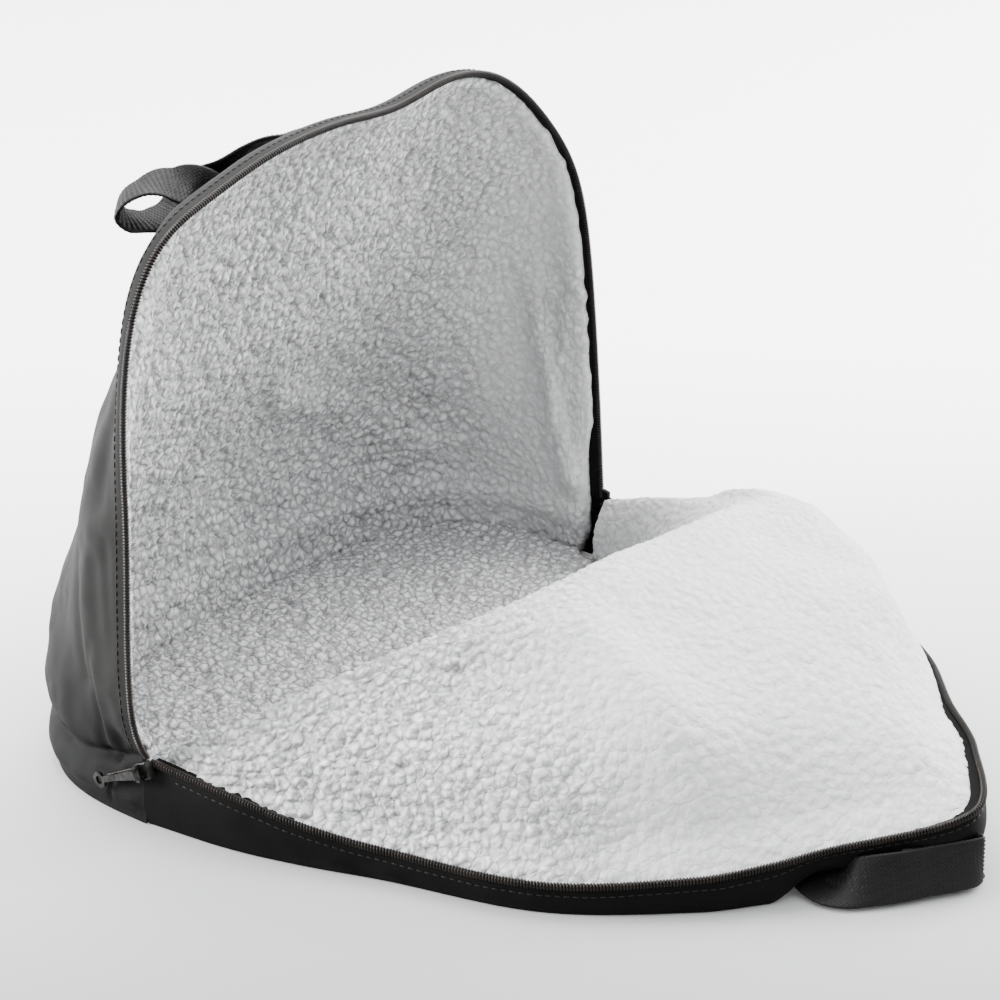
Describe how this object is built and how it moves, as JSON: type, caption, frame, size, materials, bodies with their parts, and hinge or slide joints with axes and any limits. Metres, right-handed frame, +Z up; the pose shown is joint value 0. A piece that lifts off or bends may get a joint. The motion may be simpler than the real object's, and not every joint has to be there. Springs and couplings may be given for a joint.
{
  "type": "helmet bag",
  "caption": "Soft nylon helmet bag lined with white fleece, zip open: the arched body stands and the front flap lies folded down, with webbing handles and a zip slider.",
  "frame": {"origin": "on the floor, on the underside of the base panel, below the middle of the opening", "axes": "+X across the opening to the right, +Y to the back of the standing half, +Z up; the folded flap lies towards -Y"},
  "size_m": [0.3933, 0.4974, 0.3186],
  "materials": {
    "nylon": "black woven nylon, slight sheen",
    "fleece": "white sherpa fleece",
    "zip_tape": "black tape with a plastic coil",
    "webbing": "black ribbed webbing",
    "zip_metal": "black coated metal, worn bright at the edges"
  },
  "bodies": {
    "bag": {"base_panel": "nylon", "base_lining": "fleece", "body_shell": "nylon", "body_lining": "fleece", "body_zip_tape": "zip_tape", "body_handle": "webbing", "flap_panel": "nylon", "flap_lining": "fleece", "flap_gusset": "nylon", "flap_zip_tape": "zip_tape", "flap_handle": "webbing", "zip_slider": "zip_metal", "zip_tail": "zip_tape"},
    "pull": {"zip_pull": "zip_metal"}
  },
  "joints": [
    {"name": "zip_pull_swing", "type": "hinge", "parent": "bag", "child": "pull", "pos_m": [-0.1979, -0.002, 0.033], "axis": [0, 0.454, 0.891], "range_deg": [0, 150]}
  ]
}
